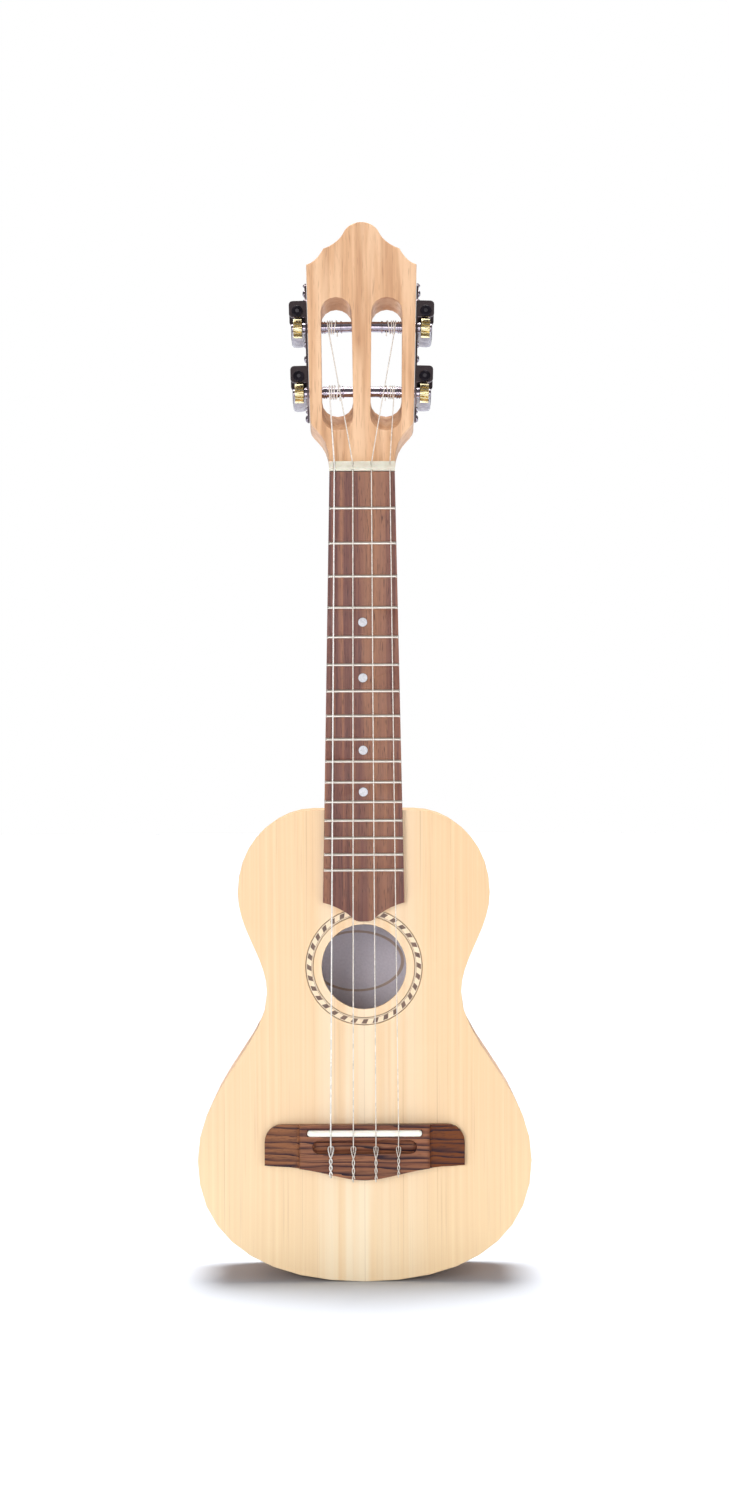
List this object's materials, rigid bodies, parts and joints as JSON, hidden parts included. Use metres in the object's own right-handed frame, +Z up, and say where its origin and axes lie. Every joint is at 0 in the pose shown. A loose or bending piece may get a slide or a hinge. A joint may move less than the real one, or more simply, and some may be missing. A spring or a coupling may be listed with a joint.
{
  "type": "folk guitar",
  "caption": "Small fretted folk guitar with a waisted hollow body, round soundhole, tie bridge, slotted head and side-mounted worm tuners.",
  "frame": {"origin": "under the middle of the instrument, at the height of the body's lowest point at the tail", "axes": "+Z up along the strings, from the tail to the head; +X to the right of a viewer who faces the soundboard; the soundboard faces -Y"},
  "size_m": [0.1746, 0.0725, 0.56],
  "materials": {
    "soundboard": "pale straight-grained softwood, satin varnish",
    "rosette": "inlaid ring of cream and dark wood blocks",
    "back_plate": "light tan wood, satin varnish",
    "ribs": "light tan wood, satin varnish",
    "blocks": "bare softwood",
    "braces": "bare softwood",
    "neck": "light tan wood, satin varnish",
    "headstock": "light tan wood, satin varnish",
    "fingerboard": "reddish-brown open-pored wood, oiled",
    "dots": "pearl inlay",
    "frets": "polished nickel silver wire",
    "nut": "polished bone",
    "bridge": "dark brown wood with darker straight grain lines",
    "saddle": "polished bone",
    "tuner_plates": "dark plated steel",
    "rollers": "plated steel",
    "gears": "bare brass",
    "worms": "dark plated steel",
    "buttons": "pearl grey plastic",
    "strings": "clear white nylon"
  },
  "bodies": {
    "root": {"soundboard": "soundboard", "rosette": "rosette", "back_plate": "back_plate", "neck_block": "blocks", "tail_block": "blocks", "rib_right": "ribs", "rib_left": "ribs", "upper_soundboard_brace": "braces", "lower_soundboard_brace": "braces", "upper_back_brace": "braces", "lower_back_brace": "braces", "bridge_plate": "braces", "neck": "neck", "headstock": "headstock", "fingerboard": "fingerboard", "dot_05": "dots", "dot_07": "dots", "dot_10": "dots", "dot_12": "dots", "fret_01": "frets", "fret_02": "frets", "fret_03": "frets", "fret_04": "frets", "fret_05": "frets", "fret_06": "frets", "fret_07": "frets", "fret_08": "frets", "fret_09": "frets", "fret_10": "frets", "fret_11": "frets", "fret_12": "frets", "fret_13": "frets", "fret_14": "frets", "fret_15": "frets", "fret_16": "frets", "nut": "nut", "bridge": "bridge", "saddle": "saddle", "tuner_plate_right": "tuner_plates", "tuner_plate_left": "tuner_plates", "string_1": "strings", "string_2": "strings", "string_3": "strings", "string_4": "strings"},
    "tuner_1_button": {"tuner_1_worm": "worms", "tuner_1_button": "buttons"},
    "tuner_1_roller": {"tuner_1_roller": "rollers", "tuner_1_gear": "gears"},
    "tuner_2_button": {"tuner_2_worm": "worms", "tuner_2_button": "buttons"},
    "tuner_2_roller": {"tuner_2_roller": "rollers", "tuner_2_gear": "gears"},
    "tuner_3_button": {"tuner_3_worm": "worms", "tuner_3_button": "buttons"},
    "tuner_3_roller": {"tuner_3_roller": "rollers", "tuner_3_gear": "gears"},
    "tuner_4_button": {"tuner_4_worm": "worms", "tuner_4_button": "buttons"},
    "tuner_4_roller": {"tuner_4_roller": "rollers", "tuner_4_gear": "gears"}
  },
  "joints": [
    {"name": "tuner_1_button_turn", "type": "hinge", "parent": "root", "child": "tuner_1_button", "pos_m": [0.03323, -0.00551, 0.47341], "axis": [0, 0.9703, -0.2419], "continuous": true},
    {"name": "tuner_1_roller_turn", "type": "hinge", "parent": "root", "child": "tuner_1_roller", "pos_m": [0.02765, -0.0072, 0.46665], "axis": [0.9997, -0.0061, -0.0243], "continuous": true, "deforming": ["string_1"]},
    {"name": "tuner_2_button_turn", "type": "hinge", "parent": "root", "child": "tuner_2_button", "pos_m": [0.03415, 0.00339, 0.50911], "axis": [0, 0.9703, -0.2419], "continuous": true},
    {"name": "tuner_2_roller_turn", "type": "hinge", "parent": "root", "child": "tuner_2_roller", "pos_m": [0.02858, 0.00171, 0.50236], "axis": [0.9997, -0.0061, -0.0243], "continuous": true, "deforming": ["string_2"]},
    {"name": "tuner_3_button_turn", "type": "hinge", "parent": "root", "child": "tuner_3_button", "pos_m": [-0.03415, 0.00339, 0.50911], "axis": [0, 0.9703, -0.2419], "continuous": true},
    {"name": "tuner_3_roller_turn", "type": "hinge", "parent": "root", "child": "tuner_3_roller", "pos_m": [-0.02858, 0.00171, 0.50236], "axis": [0.9997, 0.0061, 0.0243], "continuous": true, "deforming": ["string_3"]},
    {"name": "tuner_4_button_turn", "type": "hinge", "parent": "root", "child": "tuner_4_button", "pos_m": [-0.03323, -0.00551, 0.47341], "axis": [0, 0.9703, -0.2419], "continuous": true},
    {"name": "tuner_4_roller_turn", "type": "hinge", "parent": "root", "child": "tuner_4_roller", "pos_m": [-0.02765, -0.0072, 0.46665], "axis": [0.9997, 0.0061, 0.0243], "continuous": true, "deforming": ["string_4"]}
  ],
  "couplings": [
    {"joint": "tuner_1_roller_turn", "follows": "tuner_1_button_turn", "ratio": 0.071429},
    {"joint": "tuner_2_roller_turn", "follows": "tuner_2_button_turn", "ratio": 0.071429},
    {"joint": "tuner_3_roller_turn", "follows": "tuner_3_button_turn", "ratio": 0.071429},
    {"joint": "tuner_4_roller_turn", "follows": "tuner_4_button_turn", "ratio": 0.071429}
  ]
}
